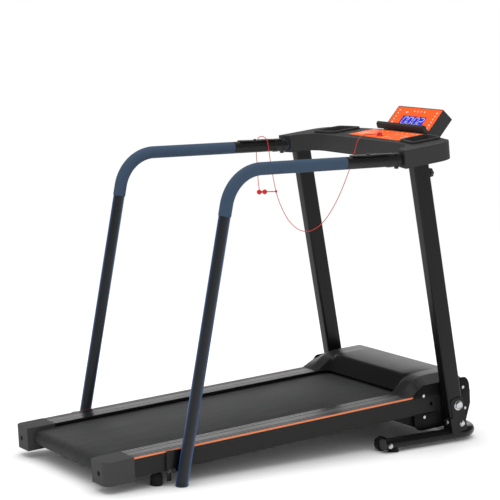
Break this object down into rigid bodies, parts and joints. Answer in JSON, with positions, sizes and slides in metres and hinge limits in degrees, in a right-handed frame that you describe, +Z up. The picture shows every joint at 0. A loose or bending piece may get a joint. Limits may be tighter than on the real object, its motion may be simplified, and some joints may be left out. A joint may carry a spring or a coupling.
{
  "type": "folding treadmill",
  "caption": "Folding walking treadmill: tilting belt deck with motor hood, bent floor tube, two uprights, long side handrails and a console with tilted display.",
  "frame": {"origin": "on the floor, under the centre of the machine's bounding box", "axes": "+X forward as the walker faces, +Y to the walker's left, +Z up"},
  "size_m": [1.467, 0.7426, 1.1049],
  "materials": {
    "frame_black": "satin powder coat",
    "zinc": "bright zinc plate",
    "rail_grey": "satin anodised",
    "accent_orange": "satin",
    "cap_black": "fine grain",
    "belt_rubber": "diamond weave",
    "board_wood": "plain board with waxed top",
    "cushion_rubber": "soft, matt",
    "roller_steel": "turned",
    "motor_case": "satin",
    "belt_ribbed": "ribbed",
    "circuit_green": "lacquered board",
    "hood_grey": "fine spark-eroded grain",
    "shell_black": "satin grain",
    "panel_orange": "printed film, satin",
    "screen_blue": "backlit",
    "key_orange": "satin",
    "key_red": "gloss",
    "cord_red": "woven",
    "tube_navy": "satin powder coat",
    "sleeve_navy": "soft foam sleeve, fine grain",
    "grip_black": "moulded, soft",
    "pad_rubber": "matt",
    "wheel_grey": "satin",
    "switch_black": "gloss"
  },
  "bodies": {
    "stand": {"floor_frame": "frame_black", "tube_plugs": "cap_black", "floor_pads": "pad_rubber", "upright_left": "frame_black", "upright_right": "frame_black", "pivot_bolts": "zinc", "frame_bolts": "zinc", "console_top": "shell_black", "console_underside": "shell_black", "console_trays": "shell_black", "keypad_panel": "panel_orange", "console_crossbar": "frame_black", "key_socket": "shell_black", "display_housing": "shell_black", "display_fascia": "panel_orange", "display_screen": "screen_blue", "display_board": "circuit_green", "display_neck": "shell_black", "phone_ledge": "shell_black", "handrail_left": "tube_navy", "handrail_right": "tube_navy", "handrail_sleeves": "sleeve_navy", "handrail_foot_caps": "pad_rubber", "hand_grips": "grip_black", "handrail_brackets": "frame_black"},
    "deck": {"deck_frame": "frame_black", "foot_rails": "rail_grey", "accent_strips": "accent_orange", "rear_caps": "cap_black", "running_belt": "belt_rubber", "deck_board": "board_wood", "deck_cushions": "cushion_rubber", "roller_axles": "zinc", "drive_motor": "motor_case", "drive_belt": "belt_ribbed", "control_board": "circuit_green", "motor_hood": "hood_grey", "belly_pan": "cap_black", "side_plates": "cap_black", "cover_screws": "zinc", "power_inlet": "switch_black"},
    "safety_key": {"safety_key": "key_red", "lanyard_cord": "cord_red", "lanyard_clip": "cord_red"},
    "front_roller": {"front_roller": "roller_steel"},
    "rear_roller": {"rear_roller": "roller_steel"},
    "motor_pulley": {"motor_pulley": "roller_steel"},
    "transport_wheel_left": {"transport_wheel_left": "wheel_grey"},
    "transport_wheel_right": {"transport_wheel_right": "wheel_grey"},
    "levelling_foot_left": {"levelling_foot_left": "pad_rubber"},
    "levelling_foot_right": {"levelling_foot_right": "pad_rubber"},
    "clamp_knob": {"clamp_knob": "cap_black"},
    "key_start": {"key_start": "key_orange"},
    "key_stop": {"key_stop": "key_red"},
    "key_faster": {"key_faster": "key_orange"},
    "key_slower": {"key_slower": "key_orange"},
    "hand_key_left": {"hand_key_left": "switch_black"},
    "hand_key_right": {"hand_key_right": "switch_black"},
    "power_switch": {"power_switch": "switch_black"}
  },
  "joints": [
    {"name": "deck_fold", "type": "hinge", "parent": "stand", "child": "deck", "pos_m": [0.587, 0, 0.128], "axis": [0, 1, 0], "range_deg": [0, 60]},
    {"name": "front_roller_spin", "type": "hinge", "parent": "deck", "child": "front_roller", "pos_m": [0.51467, 0, 0.13209], "axis": [0, 1, 0], "continuous": true},
    {"name": "rear_roller_spin", "type": "hinge", "parent": "deck", "child": "rear_roller", "pos_m": [-0.68657, 0, 0.06704], "axis": [0, 1, 0], "continuous": true},
    {"name": "motor_spin", "type": "hinge", "parent": "deck", "child": "motor_pulley", "pos_m": [0.59747, 0, 0.15661], "axis": [0, 1, 0], "continuous": true},
    {"name": "wheel_spin_left", "type": "hinge", "parent": "stand", "child": "transport_wheel_left", "pos_m": [0.306, 0.309, 0.0238], "axis": [0, 1, 0], "continuous": true},
    {"name": "foot_screw_left", "type": "hinge", "parent": "deck", "child": "levelling_foot_left", "pos_m": [-0.53721, 0.281, 0.03608], "axis": [0, 0, 1], "continuous": true},
    {"name": "hand_key_press_left", "type": "slide", "parent": "stand", "child": "hand_key_left", "axis": [0, 0, -1], "range_m": [0, 0.001], "stiffness_N_per_m": 700},
    {"name": "wheel_spin_right", "type": "hinge", "parent": "stand", "child": "transport_wheel_right", "pos_m": [0.306, -0.309, 0.0238], "axis": [0, 1, 0], "continuous": true},
    {"name": "foot_screw_right", "type": "hinge", "parent": "deck", "child": "levelling_foot_right", "pos_m": [-0.53721, -0.281, 0.03608], "axis": [0, 0, 1], "continuous": true},
    {"name": "hand_key_press_right", "type": "slide", "parent": "stand", "child": "hand_key_right", "axis": [0, 0, -1], "range_m": [0, 0.001], "stiffness_N_per_m": 700},
    {"name": "start_press", "type": "slide", "parent": "stand", "child": "key_start", "axis": [0.1132, 0, -0.9936], "range_m": [0, 0.001], "stiffness_N_per_m": 700},
    {"name": "stop_press", "type": "slide", "parent": "stand", "child": "key_stop", "axis": [0.1132, 0, -0.9936], "range_m": [0, 0.001], "stiffness_N_per_m": 700},
    {"name": "faster_press", "type": "slide", "parent": "stand", "child": "key_faster", "axis": [0.1132, 0, -0.9936], "range_m": [0, 0.001], "stiffness_N_per_m": 700},
    {"name": "slower_press", "type": "slide", "parent": "stand", "child": "key_slower", "axis": [0.1132, 0, -0.9936], "range_m": [0, 0.001], "stiffness_N_per_m": 700},
    {"name": "knob_turn", "type": "hinge", "parent": "stand", "child": "clamp_knob", "pos_m": [0.47076, -0.34, 0.9192], "axis": [0.982, 0, 0.1891], "range_deg": [0, 720]},
    {"name": "safety_key_pull", "type": "slide", "parent": "stand", "child": "safety_key", "axis": [-0.1132, 0, 0.9936], "range_m": [0, 0.012]},
    {"name": "power_switch_rock", "type": "hinge", "parent": "deck", "child": "power_switch", "pos_m": [0.68204, 0.236, 0.13916], "axis": [0, 1, 0], "range_deg": [-6, 6]}
  ],
  "couplings": [
    {"joint": "rear_roller_spin", "follows": "front_roller_spin", "ratio": 1},
    {"joint": "motor_spin", "follows": "front_roller_spin", "ratio": 2.7143}
  ]
}
